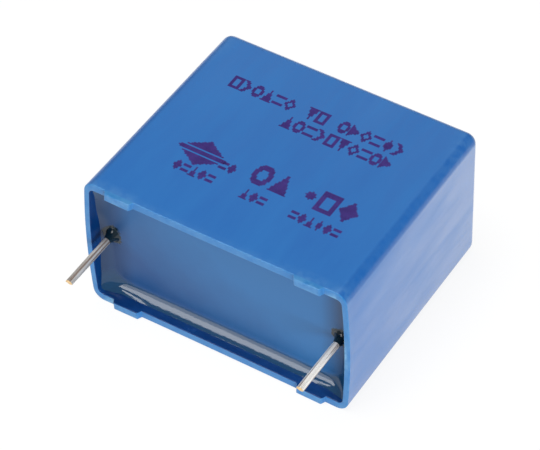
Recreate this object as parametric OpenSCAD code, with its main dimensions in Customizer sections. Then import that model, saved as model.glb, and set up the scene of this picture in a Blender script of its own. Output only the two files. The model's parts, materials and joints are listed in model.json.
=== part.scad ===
// Box film capacitor, radial leads, lying on one wide wall.
// X runs along the row of leads, Z is up, and the leads point to -Y.
// The origin lies midway between the leads, on the plane of the standoff feet that meets the board.

/* [Leads] */
// Distance between the leads
lead_pitch = 27.5; // [15:0.1:40]
// Diameter of the lead wire
lead_d = 0.8; // [0.5:0.05:1]
// Length of the leads below the feet
lead_free = 5.6; // [3:0.1:30]
// Size of the edge pressed round the cropped tip
tip_edge = 0.08; // [0.02:0.01:0.2]

/* [Case] */
// Distance from a lead's middle line to the case's end
lead_to_end = 1.65; // [1.4:0.05:3]
// Thickness of the case, across its two wide walls
case_w = 17.2; // [10:0.1:24]
// Height of the case, from the feet to the closed end
case_h = 26.9; // [18:0.1:38]
// Thickness of the two narrow end walls
end_wall = 0.65; // [0.4:0.05:0.85]
// Thickness of the two wide walls
face_wall = 0.95; // [0.5:0.05:1.6]
// Thickness of the closed end
floor_wall = 0.9; // [0.6:0.05:1.6]
// Radius of the four upright outer corners
corner_r = 1.25; // [0.95:0.05:2.5]
// Radius of the edge round the closed end
closed_edge_r = 0.85; // [0.2:0.05:0.9]
// Radius of the inner corners
inner_r = 0.55; // [0.2:0.05:1]
// How far each wall leans in by the closed end, so that the moulding leaves its tool
draft = 0.15; // [0:0.05:0.4]

/* [Set of the walls] */
// How far the end walls bow out at the open rim
end_bow = 0.45; // [0:0.05:0.8]
// How far the wide walls sink in at the open rim
face_sink = 0.15; // [0:0.05:0.4]

/* [Standoff feet] */
// Height of the feet above the rim
foot_h = 0.5; // [0.3:0.05:1]
// Length of a foot along the wide wall, at its seat
foot_l = 2.9; // [1.5:0.1:4]
// Distance from the case's end to the middle of a foot
foot_inset = 4.25; // [3.6:0.05:6]
// How far each end of a foot slopes out to its root
foot_slope = 0.25; // [0.1:0.05:0.5]

/* [Seal] */
// Depth of the flat of the seal below the rim
seal_depth = 1.9; // [1:0.05:3]
// Width of the hollow where the seal climbs the walls
meniscus_w = 1.4; // [0.5:0.1:2.5]
// How high the seal climbs along the wide walls
wall_climb = 0.95; // [0.1:0.05:1.2]
// How high it climbs at the middle of an end wall
end_climb = 0.3; // [0.1:0.05:1.2]
// How much higher it climbs in the four corners
corner_climb = 0.5; // [0:0.05:0.8]
// Height of the seal's collar on a lead
collar_h = 1.15; // [0.2:0.05:1.4]
// How far the collar spreads round the lead
collar_spread = 0.75; // [0.2:0.05:1]
// Depth of the seal over the winding
seal_cover = 2.6; // [1.5:0.1:5]

/* [Winding] */
// Seal left round the winding, at the wide walls and the closed end
roll_gap = 0.6; // [0.3:0.05:1.2]
// Thickness of the blank film wrapped round the winding
wrap_t = 0.25; // [0.15:0.05:0.6]
// Thickness of the sprayed metal on each end of the winding
spray_t = 0.6; // [0.4:0.05:1]
// Thickness of the wire inside the seal, where it is pressed flat for its weld
flat_t = 0.5; // [0.35:0.05:0.7]
// How deep the flat wire is welded into the sprayed metal
weld_sink = 0.12; // [0.05:0.01:0.2]
// Distance from the wire's inner end to the far side of the winding
wire_end_gap = 7.5; // [3:0.5:12]

/* [Hidden] */

// Steps of the case's outline: in a corner, along a wide wall and along an end wall
corner_steps = 6;
face_steps = 16;
end_steps = 8;
// Steps of the walls' height, of the rounded edges and of the seal's hollows
wall_steps = 6;
edge_steps = 5;
meniscus_steps = 8;
// Sides of round pieces, and of the blend between round and flat wire
round_fn = 64;
blend_fn = 32;
// How far a cutting shape reaches past what it cuts
bite = 1;
// The seal's hollow rises by this power of the way to the wall, and a collar's by this one up the wire
meniscus_power = 1.5;
collar_power = 2;
// Share of the collar's height where it holds round wire, and of the inner corners' radius at the floor
collar_grip = 0.8;
floor_edge_share = 0.8;

case_l = lead_pitch + 2 * lead_to_end;
rim_y = foot_h;
seal_y = rim_y + seal_depth;
floor_y = case_h - floor_wall;
// The winding fills the room that its gaps leave
roll_y0 = seal_y + seal_cover;
roll_y1 = floor_y - roll_gap;
roll_h = roll_y1 - roll_y0;
roll_t = case_w - 2 * (face_wall + draft + roll_gap);
// The film is slit to a width that puts the welded wires at the lead pitch
roll_l = lead_pitch - flat_t - 2 * spray_t + 2 * weld_sink;
spray_x = roll_l / 2 + spray_t;
wire_end_y = roll_y1 - wire_end_gap;
// Pressing keeps the wire's section, so it grows as wide as it grows thin. It starts inside the collar.
flat_w = PI * pow(lead_d / 2, 2) / flat_t;
round_end_y = seal_y - collar_grip * collar_h;
flat_y = round_end_y + flat_t;
// Square-cut corners of the roll's section are rounded by most of its half thickness
roll_round = 0.92;
inner_edge_r = floor_edge_share * inner_r;
// Least height of case left above the seal's contact line
bare_rim = 0.1;
// Seal between a lead and the nearest end wall
lead_room = lead_to_end - end_wall - draft - lead_d / 2;

// ---- Outline and wall set ----

// A wide wall's or end wall's inner points, from one corner to the next
function side(from, to, steps) = [for (i = [1:steps - 1]) from + (to - from) * i / steps];

// One corner of a rounded rectangle, as an arc about its centre
function corner(centre, r, start) =
    [for (i = [0:corner_steps]) let (a = start + 90 * i / corner_steps)
        centre + r * [cos(a), sin(a)]];

// Rounded rectangle of half length l and half thickness w, anticlockwise in X and Z
function outline(l, w, r) =
    let (x = l - r, z = w - r)
    concat(
        corner([x, z], r, 0), side([x, w], [-x, w], face_steps),
        corner([-x, z], r, 90), side([-l, z], [-l, -z], end_steps),
        corner([-x, -z], r, 180), side([-x, -w], [x, -w], face_steps),
        corner([x, -z], r, 270), side([l, -z], [l, z], end_steps));

// Full set at the rim, none at the closed end
function fade(y) = pow(1 - y / case_h, 2);

// Moves a point as the walls have set: the end walls bow out and the wide walls sink in
function set_point(x, y, z) =
    let (bow = end_bow * fade(y) * (1 - pow(2 * z / case_w, 2)),
         sink = face_sink * fade(y) * (1 - pow(2 * x / case_l, 2)))
    [x * (1 + 2 * bow / case_l), y, z * (1 - 2 * sink / case_w)];

// One ring of the moulding at height y, lying inside the outer walls by the two insets
function ring(y, end_inset, face_inset, r) =
    let (lean = draft * y / case_h)
    [for (p = outline(case_l / 2 - lean - end_inset, case_w / 2 - lean - face_inset, r))
        set_point(p[0], y, p[1])];

// Middle of a level ring
function middle(r) = [0, r[0][1], 0];

// The four points of a patch between two rings as two triangles. The cut runs the same way over a wall
// whichever way its rings are listed, so that two solids that share a wall share its facets.
function patch(a, b, c, d, falling) = falling ? [[a, d, b], [b, d, c]] : [[a, d, c], [a, c, b]];

// Closed solid through a list of rings with the same number of points, whose first and last are level
module loft(rings) {
    n = len(rings[0]);
    last = (len(rings) - 1) * n;
    first_middle = last + n;
    polyhedron(
        points = concat([for (r = rings) each r], [middle(rings[0]), middle(rings[len(rings) - 1])]),
        faces = [for (i = [0:n - 1]) let (j = (i + 1) % n) each concat(
            [[first_middle, i, j]],
            [for (k = [0:len(rings) - 2]) let (m = k * n)
                each patch(m + i, m + j, m + n + j, m + n + i, rings[k][0][1] > rings[k + 1][0][1])],
            [[first_middle + 1, last + j, last + i]])]);
}

// Angles through a rounded edge, from the wall to the flat
edge_angles = [for (i = [0:edge_steps]) 90 * i / edge_steps];

// Outer skin, from the middle of the closed end out over its edge and along the walls to the rim
function outer_rings() = concat(
    [for (i = [edge_steps:-1:1]) let (a = edge_angles[i], inset = closed_edge_r * (1 - cos(a)))
        ring(case_h - closed_edge_r * (1 - sin(a)), inset, inset, corner_r - inset)],
    [for (i = [0:wall_steps]) ring((case_h - closed_edge_r) * (1 - i / wall_steps), 0, 0, corner_r)]);

// Inner skin, from one of the wall's steps down to the flat of the floor
function inner_rings(first) = concat(
    [for (i = [first:wall_steps])
        ring((floor_y - inner_edge_r) * i / wall_steps, end_wall, face_wall, inner_r)],
    [for (i = [1:edge_steps]) let (a = edge_angles[i], inset = inner_edge_r * (1 - cos(a)))
        ring(floor_y - inner_edge_r * (1 - sin(a)), end_wall + inset, face_wall + inset, inner_r - inset)]);

// ---- Case ----

// Side view of the rim between the feet, as far as half the length
module rim_relief() {
    foot_in = case_l / 2 - foot_inset - foot_l / 2;
    foot_out = foot_in + foot_l;
    past = case_l / 2 + end_bow + bite;
    polygon([[-foot_in, -bite], [foot_in, -bite], [foot_in, 0],
             [foot_in - foot_slope, rim_y], [-foot_in + foot_slope, rim_y], [-foot_in, 0]]);
    for (s = [-1, 1])
        polygon([[s * foot_out, -bite], [s * past, -bite], [s * past, rim_y],
                 [s * (foot_out + foot_slope), rim_y], [s * foot_out, 0]]);
}

// Moulded box with one open side, whose rim is cut back between four standoff feet
module case() {
    color("#2f6fb8")
    difference() {
        loft(concat(outer_rings(), inner_rings(0)));
        translate([0, 0, -case_w]) linear_extrude(2 * case_w) rim_relief();
    }
}

// ---- Seal ----

// How high the seal climbs at a point of the room's outline: less at the ends, most in the corners
function climb(p) =
    let (along = 2 * abs(p[0]) / (case_l - 2 * end_wall), across = 2 * abs(p[1]) / (case_w - 2 * face_wall),
         wide = pow(across, 4), cornered = min(1, pow(along, 6) * wide))
    min(end_climb + (wall_climb - end_climb) * wide + corner_climb * cornered, seal_depth - bare_rim);

// Ring of the seal's face at distance d from the walls, on the hollow that climbs to them
function seal_ring(d) =
    let (wall = outline(case_l / 2 - end_wall, case_w / 2 - face_wall, inner_r),
         hollow = pow(1 - d / meniscus_w, meniscus_power))
    [for (i = [0:len(wall) - 1])
        ring(seal_y - climb(wall[i]) * hollow, end_wall + d, face_wall + d, inner_r + d)[i]];

// Concave skirt of resin round a lead, standing on the seal's face
module collar(x) {
    root_r = lead_d / 2 + min(collar_spread, lead_room);
    rise = [for (i = [0:meniscus_steps]) i / meniscus_steps];
    translate([x, seal_y, 0]) rotate([90, 0, 0]) rotate_extrude($fn = round_fn)
        polygon(concat(
            [[0, -collar_h / 2], [root_r, -collar_h / 2]],
            [for (t = rise) [root_r + (lead_d / 2 - root_r) * t, collar_h * pow(t, collar_power)]],
            [[0, collar_h]]));
}

// Epoxy cast round the winding, open to view at the rim
module potting_resin() {
    walls = inner_rings(1);
    color("#33568c")
    difference() {
        union() {
            loft(concat([for (i = [len(walls) - 1:-1:0]) walls[i]],
                        [for (i = [0:meniscus_steps]) seal_ring(meniscus_w * i / meniscus_steps)]));
            for (s = [-1, 1]) collar(s * lead_pitch / 2);
        }
        roll(0, 2 * spray_x);
        for (s = [-1, 1]) wire(s);
    }
}

// ---- Winding ----

// Section of the flattened winding, rounded at both sides
module roll_section(inset) {
    h = roll_h - 2 * inset;
    t = roll_t - 2 * inset;
    r = roll_round * min(h, t) / 2;
    square([h - 2 * r, t], center = true);
    square([h, t - 2 * r], center = true);
    for (i = [-1, 1], j = [-1, 1])
        translate([i * (h / 2 - r), j * (t / 2 - r)]) circle(r, $fn = round_fn);
}

// Stretch of the winding l long, inside its outer skin by an inset
module roll(inset, l) {
    translate([0, (roll_y0 + roll_y1) / 2, 0]) rotate([90, 0, 90])
        linear_extrude(l, center = true) roll_section(inset);
}

// Metallised film, wound and pressed flat
module film_winding() {
    color("#c9ccd2") roll(wrap_t, roll_l);
}

// Turns of blank film that hold the winding together
module cover_film() {
    color("#dfe6ea")
    difference() {
        roll(0, roll_l);
        roll(wrap_t, roll_l + 2 * bite);
    }
}

// Metal sprayed on one end of the winding, with the wire's seat in it
module contact_layer(s) {
    color("#8f9296")
    difference() {
        translate([s * (roll_l + spray_t) / 2, 0, 0]) roll(0, spray_t);
        flat_bar(s, wire_end_y - flat_y);
    }
}

module contact_layer_left() { contact_layer(-1); }
module contact_layer_right() { contact_layer(1); }

// ---- Leads ----

// Stretch of a lead that is pressed flat, from the end of its blend
module flat_bar(s, l) {
    translate([s * lead_pitch / 2 - flat_t / 2, flat_y, -flat_w / 2]) cube([flat_t, l, flat_w]);
}

// Stretch of round wire h long, from y inwards
module round_bar(s, y, h, d_start, fn) {
    translate([s * lead_pitch / 2, y, 0]) rotate([-90, 0, 0])
        cylinder(h = h, d1 = d_start, d2 = lead_d, $fn = fn);
}

// Straight wire: cropped tip, round free stretch, blend, and the hidden stretch pressed flat for its weld
module wire(s) {
    sliver = weld_sink / 10;
    round_bar(s, -lead_free, tip_edge, lead_d - 2 * tip_edge, round_fn);
    round_bar(s, tip_edge - lead_free, round_end_y + lead_free - tip_edge, lead_d, round_fn);
    hull() {
        round_bar(s, round_end_y, sliver, lead_d, blend_fn);
        flat_bar(s, sliver);
    }
    flat_bar(s, wire_end_y - flat_y);
}

module lead_wire_left() { color("#a9a49b") wire(-1); }
module lead_wire_right() { color("#a9a49b") wire(1); }

case();
potting_resin();
film_winding();
cover_film();
contact_layer_left();
contact_layer_right();
lead_wire_left();
lead_wire_right();
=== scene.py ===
import json
import math

import bmesh
import bpy
from mathutils import Matrix, Quaternion, Vector

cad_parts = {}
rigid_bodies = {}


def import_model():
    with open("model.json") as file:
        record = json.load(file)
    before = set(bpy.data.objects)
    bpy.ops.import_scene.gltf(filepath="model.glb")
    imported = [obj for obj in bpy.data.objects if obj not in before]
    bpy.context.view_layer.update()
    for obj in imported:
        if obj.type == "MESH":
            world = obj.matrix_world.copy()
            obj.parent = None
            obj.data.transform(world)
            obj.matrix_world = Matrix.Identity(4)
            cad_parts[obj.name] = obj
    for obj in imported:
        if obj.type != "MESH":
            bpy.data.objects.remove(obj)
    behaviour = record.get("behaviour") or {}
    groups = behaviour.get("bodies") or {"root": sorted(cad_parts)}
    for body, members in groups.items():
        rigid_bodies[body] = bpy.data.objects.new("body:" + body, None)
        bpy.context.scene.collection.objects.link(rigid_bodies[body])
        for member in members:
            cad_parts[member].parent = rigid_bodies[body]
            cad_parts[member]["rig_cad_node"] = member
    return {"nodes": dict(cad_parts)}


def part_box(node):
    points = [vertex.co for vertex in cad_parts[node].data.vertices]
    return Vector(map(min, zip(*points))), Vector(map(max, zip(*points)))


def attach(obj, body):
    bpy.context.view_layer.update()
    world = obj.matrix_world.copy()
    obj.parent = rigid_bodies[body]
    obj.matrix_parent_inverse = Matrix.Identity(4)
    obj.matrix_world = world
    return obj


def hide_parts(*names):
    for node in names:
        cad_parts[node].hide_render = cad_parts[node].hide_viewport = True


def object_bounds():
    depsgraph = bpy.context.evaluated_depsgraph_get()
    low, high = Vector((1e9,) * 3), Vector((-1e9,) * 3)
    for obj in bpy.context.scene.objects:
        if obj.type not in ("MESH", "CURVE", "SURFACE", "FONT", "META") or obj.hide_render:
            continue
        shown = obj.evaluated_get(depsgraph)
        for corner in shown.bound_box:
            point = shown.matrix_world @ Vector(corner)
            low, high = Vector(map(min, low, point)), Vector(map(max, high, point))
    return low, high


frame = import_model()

cad_low, cad_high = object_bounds()

# ---- Case ----
# One thin-walled box of flame-retardant plastic, moulded with one side open and four standoff
# feet on its rim. Its walls lean in towards the closed end, and have set a little out of flat:
# the narrow ends bow out at the rim and the wide walls sink in.

mm = 0.001
case_low, case_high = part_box("case")
end_bow = 0.43 * mm
face_sink = 0.14 * mm
sink_by_corner = 0.03 * mm
case_half_length = case_high.x - end_bow
case_half_width = case_high.z + sink_by_corner
corner_radius = 1.25 * mm
closed_edge_radius = 0.85 * mm
draft = 0.15 * mm
end_wall = 0.65 * mm
face_wall = 0.95 * mm
floor_wall = 0.9 * mm
inner_floor_radius = 0.4 * mm
foot_height = 0.5 * mm
foot_length = 2.9 * mm
foot_from_end = 4.25 * mm
foot_slope = 0.25 * mm
rim_edge_radius = 0.1 * mm

rim_y = case_low.y + foot_height
floor_y = case_high.y - floor_wall
inner_half_length = case_half_length - end_wall
inner_half_width = case_half_width - face_wall
inner_corner_radius = corner_radius - end_wall
foot_inner_x = case_half_length - foot_from_end - foot_length / 2
foot_outer_x = foot_inner_x + foot_length
cuts_up_wall = (0.07, 0.16, 0.28, 0.42, 0.58, 0.76)
cuts_across_case = (-0.8, -0.55, -0.3, 0, 0.3, 0.55, 0.8)
cuts_between_feet = (-0.75, -0.5, -0.25, 0, 0.25, 0.5, 0.75)
bend_margin = 1.25
bend_reach = 1.2
bend_points = (9, 7, 9)
corner_segments = 8
closed_edge_segments = 6
small_edge_segments = 3
sharp_angle = math.radians(40)
hair = 0.001 * mm
X, Y, Z = range(3)

plastic_blue = (0, 0.143, 0.52)
hazy_blue = (0.002, 0.168, 0.565)
streak_blue = (0.03, 0.24, 0.6)
faded_blue = (0.1, 0.27, 0.62)
# painted shade on the rounded long edges
rounded_edge_shade_blue = (0, 0.112, 0.43)
rim_blue = (0.012, 0.2, 0.55)
# pale sharp edges: partly wear, partly a painted highlight
worn_highlight_blue = (0.3, 0.65, 0.88)
# painted shade on the walls of the room inside, in two tones
recess_shade_blue = (0.002, 0.035, 0.16)
pale_recess_shade_blue = (0.004, 0.06, 0.25)


def box_between(name, low, high):
    """Adds a box between two corners, with its place in its mesh, and opens it for editing."""
    bpy.ops.object.select_all(action="DESELECT")
    bpy.ops.mesh.primitive_cube_add(size=1, location=[(a + b) / 2 for a, b in zip(low, high)])
    piece = bpy.context.object
    piece.name = name
    piece.data.name = name
    piece.scale = [b - a for a, b in zip(low, high)]
    bpy.ops.object.transform_apply(location=True, rotation=True, scale=True)
    bpy.ops.object.mode_set(mode="EDIT")
    return piece


def choose(piece, kind, rule):
    """Selects only the vertices, edges or faces whose middle passes the rule."""
    bpy.ops.mesh.select_mode(type=kind)
    bpy.ops.mesh.select_all(action="DESELECT")
    mesh = bmesh.from_edit_mesh(piece.data)
    parts = {"VERT": mesh.verts, "EDGE": mesh.edges, "FACE": mesh.faces}[kind]
    for part in parts:
        points = [part.co] if kind == "VERT" else [v.co for v in part.verts]
        part.select = rule(sum(points, Vector()) / len(points))
    mesh.select_flush_mode()
    bmesh.update_edit_mesh(piece.data)


def cut_across(axis, places):
    """Cuts the piece in edit mode through all its faces, square to one axis at each place."""
    for place in places:
        point = Vector()
        point[axis] = place
        normal = Vector()
        normal[axis] = 1
        bpy.ops.mesh.select_all(action="SELECT")
        bpy.ops.mesh.bisect(plane_co=point, plane_no=normal)


def lean_in(y, half_length, half_width):
    """Narrows what is selected by the draft that the walls have at height y."""
    lean = draft * y / case_high.y
    narrowing = (1 - lean / half_length, 1, 1 - lean / half_width)
    bpy.ops.transform.resize(value=narrowing, center_override=(0, y, 0))


def add_modifier(piece, kind, **settings):
    """Adds a modifier to a piece in object mode and applies it."""
    bpy.context.view_layer.objects.active = piece
    modifier = piece.modifiers.new(kind, kind)
    for name, value in settings.items():
        setattr(modifier, name, value)
    bpy.ops.object.modifier_apply(modifier=modifier.name)


def walls_set():
    """A lattice round the case, bent as its walls have set: most at the rim, none at the closed end."""
    bpy.ops.object.add(type="LATTICE", location=(0, case_high.y / 2, 0))
    lattice = bpy.context.object
    lattice.data.points_u, lattice.data.points_v, lattice.data.points_w = bend_points
    lattice.scale = (2 * bend_margin * case_half_length, bend_margin * case_high.y,
                     2 * bend_margin * case_half_width)
    for point in lattice.data.points:
        along = point.co.x * lattice.scale.x / case_half_length
        across = point.co.z * lattice.scale.z / case_half_width
        height = 0.5 + point.co.y * lattice.scale.y / case_high.y
        fade = (1 - min(height, 1)) ** 2
        bow = end_bow * fade * (1 - min(abs(across), bend_reach) ** 2) / case_half_length
        sink = face_sink * fade * (1 - min(abs(along), bend_reach) ** 2) / case_half_width
        point.co_deform = (point.co.x * (1 + bow), point.co.y, point.co.z * (1 - sink))
    bpy.context.view_layer.update()
    return lattice


case = box_between("case_shell", (-case_half_length, rim_y, -case_half_width),
                   (case_half_length, case_high.y, case_half_width))
choose(case, "EDGE", lambda p: abs(p.x) > case_half_length - hair
       and abs(p.z) > case_half_width - hair)
bpy.ops.mesh.bevel(offset=corner_radius, segments=corner_segments, affect="EDGES")
choose(case, "EDGE", lambda p: p.y > case_high.y - hair)
bpy.ops.mesh.bevel(offset=closed_edge_radius, segments=closed_edge_segments, affect="EDGES")
choose(case, "VERT", lambda p: p.y > rim_y + hair)
lean_in(case_high.y, case_half_length, case_half_width)

# The room inside is pushed in from the rim
choose(case, "FACE", lambda p: p.y < rim_y + hair)
bpy.ops.mesh.inset(thickness=end_wall)
wide_wall_step = inner_half_width / (case_half_width - end_wall)
bpy.ops.transform.resize(value=(1, 1, wide_wall_step), center_override=(0, rim_y, 0))
bpy.ops.mesh.extrude_region_move(TRANSFORM_OT_translate={"value": (0, floor_y - rim_y, 0)})
lean_in(floor_y, inner_half_length, inner_half_width)
choose(case, "EDGE", lambda p: abs(p.y - floor_y) < hair)
bpy.ops.mesh.bevel(offset=inner_floor_radius, segments=small_edge_segments, affect="EDGES")

# The feet are drawn up from the rim of the wide walls, between cuts at their ends
foot_cuts = [foot_inner_x - foot_slope, foot_inner_x, foot_outer_x, foot_outer_x + foot_slope]
cut_across(X, [side * x for side in (-1, 1) for x in foot_cuts])
cut_across(X, [foot_inner_x * share for share in cuts_between_feet])
cut_across(Y, [case_high.y * share for share in cuts_up_wall])
cut_across(Z, [inner_half_width * share for share in cuts_across_case])
choose(case, "FACE", lambda p: p.y < rim_y + hair and abs(p.z) > inner_half_width - hair
       and foot_inner_x < abs(p.x) < foot_outer_x)
bpy.ops.transform.translate(value=(0, -foot_height, 0))
bpy.ops.object.mode_set(mode="OBJECT")

# The faces of the room inside get the case's second material
for face in case.data.polygons:
    within_walls = (abs(face.center.x) < inner_half_length + hair
                    and abs(face.center.z) < inner_half_width + hair)
    face.material_index = int(within_walls and rim_y + hair < face.center.y < floor_y + hair)
add_modifier(case, "BEVEL", width=rim_edge_radius, segments=small_edge_segments, limit_method="ANGLE",
             angle_limit=sharp_angle, use_clamp_overlap=False)
walls = walls_set()
add_modifier(case, "LATTICE", object=walls)
bpy.ops.object.select_all(action="DESELECT")
case.select_set(True)
bpy.ops.object.shade_smooth()
add_modifier(case, "WEIGHTED_NORMAL", keep_sharp=True)
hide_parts("case")
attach(case, "root")


def node(tree, kind, values=None, **settings):
    """Adds a node to a tree. Values fill its inputs: each is a plain value or another node's output."""
    made = tree.nodes.new("ShaderNode" + kind)
    for name, value in settings.items():
        setattr(made, name, value)
    for name, value in (values or {}).items():
        if isinstance(value, bpy.types.NodeSocket):
            tree.links.new(value, made.inputs[name])
        else:
            made.inputs[name].default_value = value
    return made


def effect(name, inputs, outputs):
    """A node group with named number inputs, given with their usual values, and named outputs."""
    tree = bpy.data.node_groups.new(name, "ShaderNodeTree")
    for title, value in inputs.items():
        socket = tree.interface.new_socket(title, in_out="INPUT", socket_type="NodeSocketFloat")
        socket.default_value = value
    for title in outputs:
        tree.interface.new_socket(title, in_out="OUTPUT", socket_type="NodeSocketFloat")
    tree.nodes.new("NodeGroupInput")
    tree.nodes.new("NodeGroupOutput")
    return tree, tree.nodes["Group Input"].outputs, tree.nodes["Group Output"].inputs


def use_effect(tree, group, **values):
    """Places an effect in a material and returns its outputs."""
    made = tree.nodes.new("ShaderNodeGroup")
    made.node_tree = group
    for name, value in values.items():
        made.inputs[name.replace("_", " ")].default_value = value
    return made.outputs


def finish(piece, name):
    """Gives a piece a new material and returns the material's node tree and shader."""
    material = bpy.data.materials.new(name)
    material.use_nodes = True
    if "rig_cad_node" in piece:
        piece.data.materials.clear()
    piece.data.materials.append(material)
    return material.node_tree, material.node_tree.nodes["Principled BSDF"]


def blend_colours(tree, mask, first, second):
    """The first colour where the mask is 0 and the second where it is 1."""
    mix = tree.nodes.new("ShaderNodeMix")
    mix.data_type = "RGBA"
    tree.links.new(mask, mix.inputs["Factor"])
    for title, colour in (("A", first), ("B", second)):
        socket = [i for i in mix.inputs if i.name == title and i.type == "RGBA"][0]
        if isinstance(colour, bpy.types.NodeSocket):
            tree.links.new(colour, socket)
        else:
            socket.default_value = (*colour, 1)
    return [o for o in mix.outputs if o.type == "RGBA"][0]


def ramp(tree, value, start, end, low=0, high=1):
    """A value that goes from low to high while the given one goes from start to end."""
    return node(tree, "MapRange", {"Value": value, "From Min": start, "From Max": end,
                                   "To Min": low, "To Max": high}).outputs["Result"]


def between(tree, mask, low, high):
    """A mask from 0 to 1 spread from low to high."""
    return ramp(tree, mask, 0, 1, low, high)


def calculate(tree, operation, *values, clamp=False):
    """The result of one sum on plain values or other nodes' outputs."""
    inputs = dict(enumerate(values))
    return node(tree, "Math", inputs, operation=operation, use_clamp=clamp).outputs["Value"]


def drawn_place(tree, drawn_out):
    """Object coordinates that make a pattern longer along the leads by the given share."""
    place = node(tree, "TexCoord").outputs["Object"]
    shorter = calculate(tree, "DIVIDE", 1, drawn_out)
    squeeze = node(tree, "CombineXYZ", {"X": 1, "Y": shorter, "Z": 1}).outputs["Vector"]
    return node(tree, "VectorMath", {0: place, 1: squeeze}, operation="MULTIPLY").outputs["Vector"]


def dress(tree, shader, colour, roughness, height, strength, depth):
    """Gives a shader its colour, its roughness and its bumps, as deep as given."""
    tree.links.new(colour, shader.inputs["Base Color"])
    tree.links.new(roughness, shader.inputs["Roughness"])
    bump = node(tree, "Bump", {"Height": height, "Strength": strength, "Distance": depth})
    tree.links.new(bump.outputs["Normal"], shader.inputs["Normal"])


# Soft clouds of a given size, drawn out along the leads, as melt leaves them when it fills a mould
clouds, given, out = effect("clouds", {"Size": 4 * mm, "Drawn out": 3, "Sharpness": 2}, ["Mask"])
cloud = node(clouds, "TexNoise", {"Vector": drawn_place(clouds, given["Drawn out"]),
                                  "Scale": calculate(clouds, "DIVIDE", 1, given["Size"]),
                                  "Detail": 4, "Roughness": 0.55}).outputs["Fac"]
centred = calculate(clouds, "SUBTRACT", cloud, 0.5)
sharpened = calculate(clouds, "MULTIPLY_ADD", centred, given["Sharpness"], 0.5, clamp=True)
clouds.links.new(sharpened, out["Mask"])

# Rubbed and highlighted edges: a mask of the sharp outer edges, broken up by small noise
rubbed, given, out = effect("rubbed_and_highlighted_edges", {"From": 0.52, "To": 0.62, "Patches": 0.6 * mm}, ["Mask"])
sharpness = node(rubbed, "NewGeometry").outputs["Pointiness"]
on_edge = ramp(rubbed, sharpness, given["From"], given["To"])
patches = node(rubbed, "TexNoise", {"Vector": node(rubbed, "TexCoord").outputs["Object"],
                                    "Scale": calculate(rubbed, "DIVIDE", 1, given["Patches"]),
                                    "Detail": 3}).outputs["Fac"]
broken = ramp(rubbed, patches, 0.3, 0.6)
rubbed.links.new(calculate(rubbed, "MULTIPLY", on_edge, broken), out["Mask"])

# Fine grain of a surface, as a height
grain, given, out = effect("grain", {"Size": 0.2 * mm, "Drawn out": 1}, ["Height"])
fine = node(grain, "TexNoise", {"Vector": drawn_place(grain, given["Drawn out"]),
                                "Scale": calculate(grain, "DIVIDE", 1, given["Size"]),
                                "Detail": 3, "Roughness": 0.6}).outputs["Fac"]
grain.links.new(fine, out["Height"])

tree, shader = finish(case, "case_plastic")
haze = use_effect(tree, clouds, Size=6 * mm, Drawn_out=4, Sharpness=2.2)["Mask"]
streaks = use_effect(tree, clouds, Size=1.6 * mm, Drawn_out=5, Sharpness=1.6)["Mask"]
edges = use_effect(tree, rubbed, From=0.51, To=0.6, Patches=0.8 * mm)["Mask"]
hazy = blend_colours(tree, haze, plastic_blue, hazy_blue)
streaked = blend_colours(tree, between(tree, streaks, 0, 0.3), hazy, streak_blue)

# The walls are paler and glossier towards the closed end
height = node(tree, "SeparateXYZ", {0: node(tree, "TexCoord").outputs["Object"]}).outputs["Y"]
towards_back = ramp(tree, height, 0.1 * case_high.y, 0.95 * case_high.y)
faded = calculate(tree, "MULTIPLY", towards_back, haze)
paler = blend_colours(tree, between(tree, faded, 0, 0.1), streaked, faded_blue)

# The rounded long edges are less glossy than the walls beside them, and are painted a deeper colour:
# painted shade on the edges
facing = node(tree, "SeparateXYZ", {0: node(tree, "NewGeometry").outputs["Normal"]}).outputs
turned = calculate(tree, "ABSOLUTE", calculate(tree, "MULTIPLY", facing["X"], facing["Z"]))
rounded = ramp(tree, turned, 0.08, 0.3)
edge_shaded = blend_colours(tree, between(tree, rounded, 0, 0.8), paler, rounded_edge_shade_blue)

# The faces of the rim and the feet are paler and have no gloss
rim = ramp(tree, height, rim_y + 0.04 * mm, rim_y + 0.12 * mm, 1, 0)
rim_paler = blend_colours(tree, rim, edge_shaded, rim_blue)
# The sharp edges are painted pale: partly wear, partly a painted highlight
worn_and_highlighted = blend_colours(tree, between(tree, edges, 0, 0.55), rim_paler, worn_highlight_blue)

# Gloss grows towards the closed end, and is broken by the streaks
patchy = calculate(tree, "MULTIPLY", between(tree, rounded, 1, 0.25), between(tree, streaks, 1.4, 0.5))
gloss = calculate(tree, "MULTIPLY", between(tree, towards_back, 0.4, 1), patchy)
tree.links.new(calculate(tree, "SUBTRACT", gloss, rim, clamp=True), shader.inputs["Coat Weight"])
shader.inputs["Coat Roughness"].default_value = 0.2
shader.inputs["Coat IOR"].default_value = 1.75
shader.inputs["IOR"].default_value = 1.6
texture = use_effect(tree, grain, Size=0.3 * mm, Drawn_out=1.5)["Height"]
dress(tree, shader, worn_and_highlighted, between(tree, streaks, 0.28, 0.38), texture, 0.15, 0.01 * mm)

# Inside the room the plastic is painted darker: painted shade in the recess
tree, shader = finish(case, "case_plastic_recess_shade")
shade_blotches = use_effect(tree, clouds, Size=2.5 * mm, Drawn_out=0.6, Sharpness=2)["Mask"]
recess_shaded = blend_colours(tree, shade_blotches, recess_shade_blue, pale_recess_shade_blue)
texture = use_effect(tree, grain, Size=0.6 * mm, Drawn_out=1)["Height"]
dress(tree, shader, recess_shaded, between(tree, shade_blotches, 0.15, 0.3), texture, 0.2, 0.02 * mm)

# ---- Seal ----
# Epoxy poured round the winding with the box standing on its closed end. It wetted the walls and
# the leads as it set, so its face is hollow along the walls, climbs in the corners and stands up
# in a small skirt round each lead.

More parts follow.
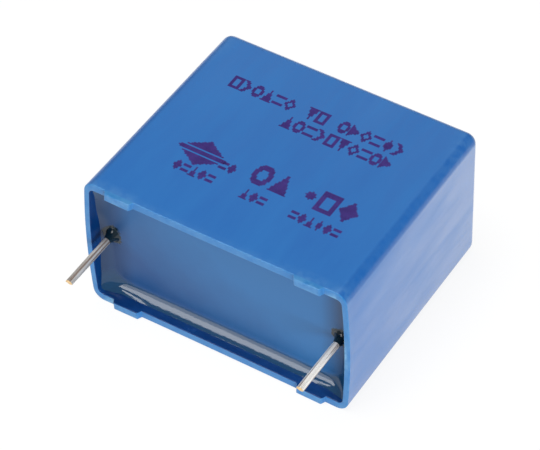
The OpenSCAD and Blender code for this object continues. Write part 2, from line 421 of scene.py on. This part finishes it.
seal_depth = 1.9 * mm
wall_climb = 0.95 * mm
end_climb = 0.3 * mm
end_climb_reach = 5.5 * mm
corner_climb = 1.45 * mm
corner_climb_reach = 2.4 * mm
meniscus_width = 1.35 * mm
meniscus_steps = 10
meniscus_power = 1.3
skirt_height = 1.15 * mm
skirt_spread = 0.6 * mm
skirt_steps = 8
skirt_sides = 40
skirt_root_depth = skirt_height / 2
bond = 0.01 * mm
pocket_rounding = 0.92
cuts_across_seal = (-0.75, -0.5, -0.25, 0, 0.25, 0.5, 0.75)
cuts_along_seal = (-0.85, -0.6, -0.3, 0, 0.3, 0.6, 0.85)
stain_radius = 0.35 * mm
stain_edge = 0.2 * mm
stain_raggedness = 1.4 * mm
stain_lumps_per_metre = 1400
seal_y = rim_y + seal_depth
contact_y = seal_y - wall_climb
seal_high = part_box("potting_resin")[1]
lead_low, lead_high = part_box("lead_wire_right")
lead_x = (lead_low.x + lead_high.x) / 2
lead_radius = 0.4 * mm

resin_blue = (0.015, 0.088, 0.27)
pale_resin_blue = (0.027, 0.171, 0.437)
# painted shade on the resin beside the end walls
end_shade_blue = (0.012, 0.03, 0.09)
# painted shade in the hollow along the wide walls
hollow_shade_blue = (0.008, 0.06, 0.15)
# round the leads: partly a stain, partly a painted dark reflection
stain_and_reflection_black = (0.004, 0.016, 0.026)


def skirt(side):
    """The ring of resin drawn up round one lead, wide at its root and hollow up to the wire."""
    bpy.ops.object.select_all(action="DESELECT")
    y = seal_y + skirt_root_depth
    radius = lead_radius + skirt_spread
    bpy.ops.mesh.primitive_circle_add(vertices=skirt_sides, radius=radius, fill_type="NGON",
                                      location=(side * lead_x, y, 0), rotation=(math.pi / 2, 0, 0))
    piece = bpy.context.object
    bpy.ops.object.transform_apply(location=True, rotation=True, scale=True)
    bpy.ops.object.mode_set(mode="EDIT")
    for step in range(skirt_steps + 1):
        share = 1 - step / skirt_steps
        next_y = seal_y - skirt_height * (1 - share) ** 2
        next_radius = lead_radius + skirt_spread * share
        bpy.ops.mesh.extrude_region_move(TRANSFORM_OT_translate={"value": (0, next_y - y, 0)})
        shrink = next_radius / radius
        bpy.ops.transform.resize(value=(shrink, 1, shrink), center_override=(side * lead_x, next_y, 0))
        y, radius = next_y, next_radius
    bpy.ops.mesh.select_all(action="SELECT")
    bpy.ops.mesh.normals_make_consistent(inside=False)
    bpy.ops.object.mode_set(mode="OBJECT")
    return piece


seal = box_between("seal_face", (-inner_half_length - bond, contact_y, -inner_half_width - bond),
                   (inner_half_length + bond, floor_y, inner_half_width + bond))
choose(seal, "EDGE", lambda p: abs(p.x) > inner_half_length and abs(p.z) > inner_half_width)
bpy.ops.mesh.bevel(offset=inner_corner_radius, segments=corner_segments, affect="EDGES")
choose(seal, "FACE", lambda p: p.y < contact_y + hair)
bpy.ops.mesh.delete(type="ONLY_FACE")

# The flat of the face has rounder corners than the room, and the hollow is bridged between the two
flat_half_length = inner_half_length - meniscus_width
flat_half_width = inner_half_width - meniscus_width
bpy.ops.mesh.select_all(action="DESELECT")
bpy.ops.mesh.primitive_plane_add(size=2, location=(0, seal_y, 0), rotation=(math.pi / 2, 0, 0))
bpy.ops.transform.resize(value=(flat_half_length, 1, flat_half_width), center_override=(0, seal_y, 0))
bpy.ops.mesh.select_mode(type="VERT")
bpy.ops.mesh.bevel(offset=inner_corner_radius + meniscus_width, segments=corner_segments,
                   affect="VERTICES")
choose(seal, "EDGE", lambda p: p.y < seal_y + hair)
bpy.ops.mesh.bridge_edge_loops(number_cuts=meniscus_steps - 1, interpolation="LINEAR")
for step in range(1, meniscus_steps):
    share = 1 - step / meniscus_steps
    slope_y = seal_y - wall_climb * share
    choose(seal, "VERT", lambda p: abs(p.y - slope_y) < hair)
    bpy.ops.transform.translate(value=(0, wall_climb * (share - share ** meniscus_power), 0))
bpy.ops.mesh.select_all(action="SELECT")
bpy.ops.mesh.normals_make_consistent(inside=False)
choose(seal, "VERT", lambda p: p.y > seal_high.y - hair)
lean_in(floor_y, inner_half_length, inner_half_width)
choose(seal, "EDGE", lambda p: p.y > seal_high.y - hair)
bpy.ops.mesh.bevel(offset=inner_floor_radius, segments=small_edge_segments, affect="EDGES")
cut_across(X, [inner_half_length * share for share in cuts_along_seal])
cut_across(Y, [case_high.y * share for share in cuts_up_wall[1:]])
cut_across(Z, [inner_half_width * share for share in cuts_across_seal])


def change_climb(rule, height, reach, falloff):
    """Raises or lowers the hollow's climb round the chosen points, and leaves the flat as it is."""
    choose(seal, "VERT", lambda p: contact_y - hair < p.y < seal_y - hair and rule(p))
    bpy.ops.transform.resize(value=(1, height / wall_climb, 1), center_override=(0, seal_y, 0),
                             use_proportional_edit=True, proportional_edit_falloff=falloff,
                             proportional_size=reach)


for side in (-1, 1):
    change_climb(lambda p: p.x * side > inner_half_length - meniscus_width and abs(p.z) < hair,
                 end_climb, end_climb_reach, "SMOOTH")
corner_x = inner_half_length - inner_corner_radius / 2
corner_z = inner_half_width - inner_corner_radius / 2
for side_x, side_z in ((-1, -1), (-1, 1), (1, -1), (1, 1)):
    change_climb(lambda p: p.x * side_x > corner_x and p.z * side_z > corner_z,
                 corner_climb, corner_climb_reach, "SHARP")
bpy.ops.object.mode_set(mode="OBJECT")
add_modifier(seal, "LATTICE", object=walls)
for side in (-1, 1):
    collar = skirt(side)
    add_modifier(seal, "BOOLEAN", operation="UNION", object=collar, solver="EXACT")
    bpy.data.objects.remove(collar)

# The winding and its sprayed ends lie in a pocket inside the resin
winding_low, winding_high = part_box("cover_film")
spray_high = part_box("contact_layer_right")[1]
pocket = box_between("pocket", (-spray_high.x, winding_low.y, winding_low.z),
                     (spray_high.x, winding_high.y, winding_high.z))
choose(pocket, "EDGE", lambda p: abs(p.x) < hair)
bpy.ops.mesh.bevel(offset=pocket_rounding * winding_high.z, segments=corner_segments, affect="EDGES")
bpy.ops.object.mode_set(mode="OBJECT")
add_modifier(seal, "BOOLEAN", operation="DIFFERENCE", object=pocket, solver="EXACT")
bpy.data.objects.remove(pocket)
bpy.data.objects.remove(walls)
bpy.ops.object.select_all(action="DESELECT")
seal.select_set(True)
bpy.context.view_layer.objects.active = seal
bpy.ops.object.shade_smooth_by_angle(angle=sharp_angle)
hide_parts("potting_resin")
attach(seal, "root")

tree, shader = finish(seal, "seal_resin")
place = node(tree, "TexCoord").outputs["Object"]
clouding = use_effect(tree, clouds, Size=3 * mm, Drawn_out=1.5, Sharpness=2)["Mask"]

# The flat darkens towards the lower left corner
towards_upper_right = (60, 0, 110)
slant = node(tree, "VectorMath", {0: place, 1: towards_upper_right}, operation="DOT_PRODUCT")
cloudy_slant = calculate(tree, "MULTIPLY_ADD", clouding, 0.3, slant.outputs["Value"])
lightness = ramp(tree, cloudy_slant, -0.8, 0.4)
flat = blend_colours(tree, lightness, resin_blue, pale_resin_blue)

# It is also painted darker and greyer near the end walls: painted shade in the recess beside them
folded = node(tree, "VectorMath", {0: place}, operation="ABSOLUTE").outputs["Vector"]
from_middle = node(tree, "SeparateXYZ", {0: folded}).outputs
near_end = ramp(tree, from_middle["X"], inner_half_length - 3.4 * mm, inner_half_length - 0.1 * mm)
resin = blend_colours(tree, between(tree, near_end, 0, 0.85), flat, end_shade_blue)

# The hollow along the wide walls is glassy, and painted darker than the flat: painted shade in the dip
# along the walls
climbed = ramp(tree, from_middle["Y"], seal_y - 0.14 * mm, seal_y - 0.01 * mm, 1, 0)
by_wall = ramp(tree, from_middle["Z"], inner_half_width - 2.6 * mm, inner_half_width - 1.5 * mm, 0.3, 1)
hollow = calculate(tree, "MULTIPLY", climbed, by_wall)
hollow_shaded = blend_colours(tree, hollow, resin, hollow_shade_blue)

# Round each lead the resin is darkened out to a ragged edge: partly a stain, partly a painted dark
# reflection in the skirt
from_lead = node(tree, "VectorMath", {0: folded, 1: (lead_x, 0, 0)}, operation="SUBTRACT")
level = node(tree, "VectorMath", {0: from_lead.outputs["Vector"], 1: (1, 0, 1)}, operation="MULTIPLY")
distance = node(tree, "VectorMath", {0: level.outputs["Vector"]}, operation="LENGTH").outputs["Value"]
ragged = node(tree, "TexNoise", {"Vector": place, "Scale": stain_lumps_per_metre,
                                 "Detail": 3}).outputs["Fac"]
ragged_distance = calculate(tree, "MULTIPLY_ADD", ragged, -stain_raggedness, distance)
stain = ramp(tree, ragged_distance, stain_radius, stain_radius + stain_edge, 1, 0)
stained_and_darkened = blend_colours(tree, stain, hollow_shaded, stain_and_reflection_black)
glassy = calculate(tree, "MAXIMUM", hollow, stain)
dullness = calculate(tree, "SUBTRACT", 1, glassy, clamp=True)
skin = use_effect(tree, grain, Size=0.5 * mm, Drawn_out=1)["Height"]
lumps = calculate(tree, "MULTIPLY", stain, ragged)
texture = calculate(tree, "MULTIPLY_ADD", lumps, 6, skin)
dress(tree, shader, stained_and_darkened, between(tree, dullness, 0.05, 0.42), texture, 0.15, 0.03 * mm)

# ---- Leads ----
# Two straight tinned copper wires. Each was cropped to length, which left a slanting copper face at
# its tip, and is pressed flat inside the seal, where it is welded to the winding's sprayed end.

wire_sides = 32
crop_depth = 0.1 * mm
crop_slope = 0.22
tip_edge = 0.05 * mm
flat_thickness = 0.5 * mm
flat_width = math.pi * lead_radius ** 2 / flat_thickness
skirt_share_on_round_wire = 0.8
round_end_y = seal_y - skirt_share_on_round_wire * skirt_height
tip_depth = 2.1 * crop_depth
crop_facing = 0.5

bright_tin = (1, 0.99, 0.97)
dull_tin = (0.88, 0.84, 0.78)
# painted shade: the left lead's tin, darker than the right's
shaded_tin = (0.8, 0.78, 0.74)
shaded_dark_tin = (0.36, 0.33, 0.29)
score_brown = (0.2, 0.13, 0.1)
copper_red = (0.85, 0.5, 0.2)
copper_yellow = (0.95, 0.75, 0.42)


def lead(side, node):
    """One lead, drawn from its cropped tip inwards."""
    low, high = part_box(node)
    bpy.ops.object.select_all(action="DESELECT")
    bpy.ops.mesh.primitive_circle_add(vertices=wire_sides, radius=lead_radius, fill_type="NGON",
                                      location=(side * lead_x, low.y, 0), rotation=(math.pi / 2, 0, 0))
    piece = bpy.context.object
    piece.name = node + "_drawn"
    piece.data.name = piece.name
    bpy.ops.object.transform_apply(location=True, rotation=True, scale=True)
    bpy.ops.object.mode_set(mode="EDIT")
    bpy.ops.mesh.extrude_region_move(TRANSFORM_OT_translate={"value": (0, round_end_y - low.y, 0)})
    bpy.ops.mesh.extrude_region_move(TRANSFORM_OT_translate={"value": (0, flat_thickness, 0)})
    pressing = (flat_thickness / 2 / lead_radius, 1, flat_width / 2 / lead_radius)
    bpy.ops.transform.resize(value=pressing, center_override=(side * lead_x, round_end_y, 0))
    bpy.ops.mesh.extrude_region_move(
        TRANSFORM_OT_translate={"value": (0, high.y - round_end_y - flat_thickness, 0)})
    bpy.ops.mesh.select_all(action="SELECT")
    bpy.ops.mesh.normals_make_consistent(inside=False)
    bpy.ops.mesh.bisect(plane_co=(side * lead_x, low.y + crop_depth, 0), plane_no=(0, -1, -crop_slope),
                        use_fill=True, clear_outer=True)
    choose(piece, "EDGE", lambda p: p.y < low.y + tip_depth)
    bpy.ops.mesh.bevel(offset=tip_edge, segments=small_edge_segments, affect="EDGES")
    bpy.ops.object.mode_set(mode="OBJECT")
    bpy.ops.object.select_all(action="DESELECT")
    piece.select_set(True)
    bpy.ops.object.shade_smooth_by_angle(angle=sharp_angle)
    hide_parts(node)
    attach(piece, "root")
    return piece


leads = [lead(-1, "lead_wire_left"), lead(1, "lead_wire_right")]

# The left lead is painted darker than the right one: painted shade on the lead that gets less light
tins = ((shaded_tin, shaded_dark_tin), (bright_tin, dull_tin))
for wire, (bright, dull) in zip(leads, tins):
    tree, shader = finish(wire, wire.name + "_tin")
    tarnish = use_effect(tree, clouds, Size=0.9 * mm, Drawn_out=3, Sharpness=2)["Mask"]
    draw_marks = use_effect(tree, grain, Size=0.22 * mm, Drawn_out=60)["Height"]
    scores = ramp(tree, draw_marks, 0.5, 0.58, 0, 0.85)
    tin = blend_colours(tree, tarnish, bright, dull)
    scored = blend_colours(tree, scores, tin, score_brown)
    shader.inputs["Metallic"].default_value = 0.3
    dress(tree, shader, scored, between(tree, tarnish, 0.2, 0.38), draw_marks, 0.5, 0.03 * mm)

    # The cropped face is bare copper
    tree, shader = finish(wire, wire.name + "_copper")
    torn = use_effect(tree, grain, Size=0.15 * mm, Drawn_out=1)["Height"]
    copper = blend_colours(tree, torn, copper_red, copper_yellow)
    shader.inputs["Metallic"].default_value = 0.8
    dress(tree, shader, copper, between(tree, torn, 0.25, 0.5), torn, 0.6, 0.03 * mm)
    for face in wire.data.polygons:
        face.material_index = int(face.normal.y < -crop_facing)

# ---- Winding ----
# Metallised film wound and pressed flat, held by turns of blank film, with zinc sprayed on both
# ends for the wires' welds. All of it lies inside the seal.

film_silver = (0.62, 0.64, 0.68)
film_grey = (0.42, 0.44, 0.5)
wrap_white = (0.72, 0.76, 0.78)
wrap_grey = (0.6, 0.66, 0.7)
zinc_grey = (0.3, 0.31, 0.33)
pale_zinc_grey = (0.5, 0.5, 0.51)

tree, shader = finish(frame["nodes"]["film_winding"], "metallised_film")
turns = use_effect(tree, grain, Size=0.06 * mm, Drawn_out=1)["Height"]
silvery = blend_colours(tree, turns, film_silver, film_grey)
shader.inputs["Metallic"].default_value = 0.9
dress(tree, shader, silvery, between(tree, turns, 0.2, 0.4), turns, 0.3, 0.01 * mm)

tree, shader = finish(frame["nodes"]["cover_film"], "blank_film")
wrinkles = use_effect(tree, clouds, Size=2 * mm, Drawn_out=0.3, Sharpness=2)["Mask"]
milky = blend_colours(tree, wrinkles, wrap_white, wrap_grey)
dress(tree, shader, milky, between(tree, wrinkles, 0.15, 0.3), wrinkles, 0.3, 0.03 * mm)

for name in ("contact_layer_left", "contact_layer_right"):
    tree, shader = finish(frame["nodes"][name], name + "_zinc")
    spatter = use_effect(tree, grain, Size=0.15 * mm, Drawn_out=1)["Height"]
    zinc = blend_colours(tree, spatter, zinc_grey, pale_zinc_grey)
    shader.inputs["Metallic"].default_value = 0.8
    dress(tree, shader, zinc, between(tree, spatter, 0.5, 0.8), spatter, 0.8, 0.05 * mm)

# ---- Print ----
# Violet ink thrown on the upper wide wall dot by dot. It makes two rows of small marks and a row
# of larger signs, each over a shorter row, all of them plain shapes that say nothing.

ink_pitch = 0.18 * mm
ink_dot = 0.95 * ink_pitch
ink_thickness = 0.012 * mm
ink_sunk = 0.002 * mm
mark_size = (1.05 * mm, 1.6 * mm)
mark_step = 1.3 * mm
small_mark_size = (0.8 * mm, 1.25 * mm)
small_mark_step = 0.98 * mm
sign_size = (2 * mm, 2.7 * mm)
wide_sign_size = (5.6 * mm, 3.6 * mm)
point_size = (1 * mm, 1 * mm)
upper_row_y = 19.75 * mm
lower_row_y = 17.45 * mm
sign_y = 9.1 * mm
small_row_y = 6.75 * mm

ink_violet = (0.035, 0.012, 0.16)
thin_ink_violet = (0.055, 0.022, 0.23)

# Each shape is told by where its ink lies, from -1 to 1 across and up
SHAPES = {
    "ring": lambda u, v: 0.55 < math.hypot(u, v) < 1.1,
    "disc": lambda u, v: math.hypot(u, v) < 1.05,
    "diamond": lambda u, v: 0.55 < abs(u) + abs(v) < 1.15,
    "lozenge": lambda u, v: abs(u) + abs(v) < 1.1,
    "frame": lambda u, v: max(abs(u), abs(v)) > 0.6,
    "peak": lambda u, v: 2 * abs(u) < 1.1 - v,
    "drop": lambda u, v: 2 * abs(u) < 1.1 + v,
    "pointer": lambda u, v: 2 * abs(v) < 1.1 - u,
    "chevron": lambda u, v: abs(u + abs(v) - 0.4) < 0.45,
    "bars": lambda u, v: abs(abs(v) - 0.65) < 0.3,
    "slats": lambda u, v: abs(u) + abs(v) < 1.05 and not 0.12 < abs(v) < 0.3,
}


def sign(shape, x, y, size=sign_size):
    """Dot places of one shape, with its lower left dot at x, y."""
    columns, rows = round(size[0] / ink_pitch), round(size[1] / ink_pitch)
    return [(x + column * ink_pitch, y + row * ink_pitch)
            for column in range(columns + 1) for row in range(rows + 1)
            if SHAPES[shape](2 * column / columns - 1, 2 * row / rows - 1)]


def row_of_marks(shapes, x, y, step=mark_step, size=mark_size):
    """Dot places of small shapes in a row. A blank leaves a gap."""
    return [dot for i, shape in enumerate(shapes) if shape
            for dot in sign(shape, x + i * step, y, size)]


def ink(name, dots):
    """Copies one flat dot to each place, lays them on the wall and gives them the ink's thickness."""
    bpy.ops.object.select_all(action="DESELECT")
    bpy.ops.mesh.primitive_plane_add(size=ink_dot, location=(0, 0, case_high.z + mm))
    first = bpy.context.object
    bpy.ops.object.transform_apply(location=True, rotation=True, scale=True)
    for x, y in dots:
        dot = bpy.data.objects.new(name, first.data.copy())
        dot.data.transform(Matrix.Translation((x, y, 0)))
        bpy.context.scene.collection.objects.link(dot)
        dot.select_set(True)
        bpy.context.view_layer.objects.active = dot
    first.select_set(False)
    bpy.data.objects.remove(first)
    bpy.ops.object.join()
    piece = bpy.context.object
    piece.name = name
    piece.data.name = name
    add_modifier(piece, "SHRINKWRAP", target=case, wrap_method="PROJECT", use_project_z=True,
                 use_negative_direction=True, use_positive_direction=False, offset=-ink_sunk)
    add_modifier(piece, "SOLIDIFY", thickness=ink_thickness, offset=1)
    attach(piece, "root")
    tree, shader = finish(piece, name + "_ink")
    soak = use_effect(tree, clouds, Size=0.8 * mm, Drawn_out=1, Sharpness=2)["Mask"]
    violet = blend_colours(tree, soak, ink_violet, thin_ink_violet)
    grains = use_effect(tree, grain, Size=0.1 * mm, Drawn_out=1)["Height"]
    dress(tree, shader, violet, between(tree, soak, 0.35, 0.5), grains, 0.4, 0.01 * mm)


ink("print_upper_row", row_of_marks(
    ["frame", "chevron", "ring", "peak", "bars", "diamond", None, "drop", "frame", None,
     "ring", "pointer", "diamond", "bars", "lozenge", "chevron"], -10.5 * mm, upper_row_y))
ink("print_lower_row", row_of_marks(
    ["peak", "ring", "bars", "chevron", "frame", "drop", "diamond", "bars", "ring", "pointer"],
    -2.8 * mm, lower_row_y))
ink("print_left_sign", sign("slats", -10.1 * mm, 8.2 * mm, wide_sign_size)
    + row_of_marks(["bars", "disc"], -4.9 * mm, 9 * mm, small_mark_step, small_mark_size))
ink("print_middle_sign", sign("ring", -1.4 * mm, sign_y) + sign("peak", 1 * mm, sign_y))
ink("print_right_sign", sign("disc", 4.7 * mm, 10 * mm, point_size)
    + sign("frame", 6.3 * mm, sign_y) + sign("lozenge", 8.7 * mm, sign_y))
for name, x, shapes in (("print_left_row", -9, ["disc", "bars", "peak", "disc", "bars"]),
                        ("print_middle_row", -0.9, ["peak", "disc", "bars"]),
                        ("print_right_row", 4.8, ["bars", "disc", "peak", "lozenge", "disc", "bars"])):
    ink(name, row_of_marks(shapes, x * mm, small_row_y, small_mark_step, small_mark_size))

# ---- Camera and surroundings ----
# A long lens looks down on the lead side from the right. The room round the table is a plain,
# even white that lights the part a little from all sides.

camera_azimuth = math.radians(33.53)
camera_elevation = math.radians(46.25)
camera_roll = math.radians(-1.87)
camera_distance = 311.2 * mm
focal_length = 202.26
room_light = 0.28
white = (1, 1, 1, 1)
matt_white = (0.8, 0.8, 0.8, 1)

middle = (cad_low + cad_high) / 2
aim = middle + Vector((-0.27, 0.63, 0.64)) * mm
back = Vector((math.sin(camera_azimuth) * math.cos(camera_elevation),
               -math.cos(camera_azimuth) * math.cos(camera_elevation),
               math.sin(camera_elevation)))
sight = bpy.data.objects.new("camera", bpy.data.cameras.new("camera"))
bpy.context.scene.collection.objects.link(sight)
sight.location = aim + back * camera_distance
sight.rotation_mode = "QUATERNION"
sight.rotation_quaternion = back.to_track_quat("Z", "Y") @ Quaternion((0, 0, 1), camera_roll)
sight.data.lens = focal_length
sight.data.clip_start = 0.01
sight.data.clip_end = 10
bpy.context.scene.camera = sight

world = bpy.data.worlds.new("studio")
world.use_nodes = True
world.node_tree.nodes["Background"].inputs["Color"].default_value = white
world.node_tree.nodes["Background"].inputs["Strength"].default_value = room_light
bpy.context.scene.world = world
bpy.context.scene.view_settings.view_transform = "Standard"

# ---- Floor ----
# A plain white table top under the part, which is not a piece of the object. It lights the part
# as matt white does, and looks white itself to the camera and in gloss, with the part's shadow.

floor_size = 3
floor_gap = 0.02 * mm
floor_white = 1.1
floor_evenness = 0.8

bpy.ops.object.select_all(action="DESELECT")
bpy.ops.mesh.primitive_plane_add(size=floor_size, location=(0, 0, case_low.z - floor_gap))
floor = bpy.context.object
floor.name = "floor"
tree, shader = finish(floor, "white_table")
tree.nodes.remove(shader)
matt = node(tree, "BsdfDiffuse", {"Color": matt_white}).outputs["BSDF"]
glow = node(tree, "Emission", {"Color": white, "Strength": floor_white}).outputs["Emission"]
seen = node(tree, "MixShader", {"Fac": floor_evenness, 1: matt, 2: glow}).outputs["Shader"]
path = node(tree, "LightPath").outputs
camera_or_gloss = calculate(tree, "MAXIMUM", path["Is Camera Ray"], path["Is Glossy Ray"])
straight = calculate(tree, "MAXIMUM", camera_or_gloss, path["Is Transmission Ray"])
mixed = node(tree, "MixShader", {"Fac": straight, 1: matt, 2: seen}).outputs["Shader"]
tree.links.new(mixed, tree.nodes["Material Output"].inputs["Surface"])

# ---- Lamps ----
# Five square soft boxes round the part. The three small ones in front draw the pale streak in the
# hollow of the resin, and the one on the right stands behind a polariser, which takes out its image.

lamp_distance = 0.6


def softbox(name, direction, size, power, mirrored=True):
    """A square lamp that shines at the part from a direction, and shows in its gloss if mirrored."""
    lamp = bpy.data.lights.new(name, "AREA")
    lamp.size = size
    lamp.energy = power
    box = bpy.data.objects.new(name, lamp)
    bpy.context.scene.collection.objects.link(box)
    way = Vector(direction).normalized()
    box.location = middle + way * lamp_distance
    box.rotation_mode = "QUATERNION"
    box.rotation_quaternion = way.to_track_quat("Z", "Y")
    box.visible_glossy = mirrored


softbox("front_low_box", (-0.38, -0.91, 0.17), 0.1, 0.085)
softbox("front_box", (-0.38, -0.87, 0.33), 0.09, 0.16)
softbox("front_high_box", (-0.38, -0.79, 0.485), 0.03, 0.02)
softbox("right_box", (0.8, -0.6, 0.1), 0.3, 2.6, mirrored=False)
softbox("top_box", (-0.15, -0.15, 0.97), 0.4, 2.2)
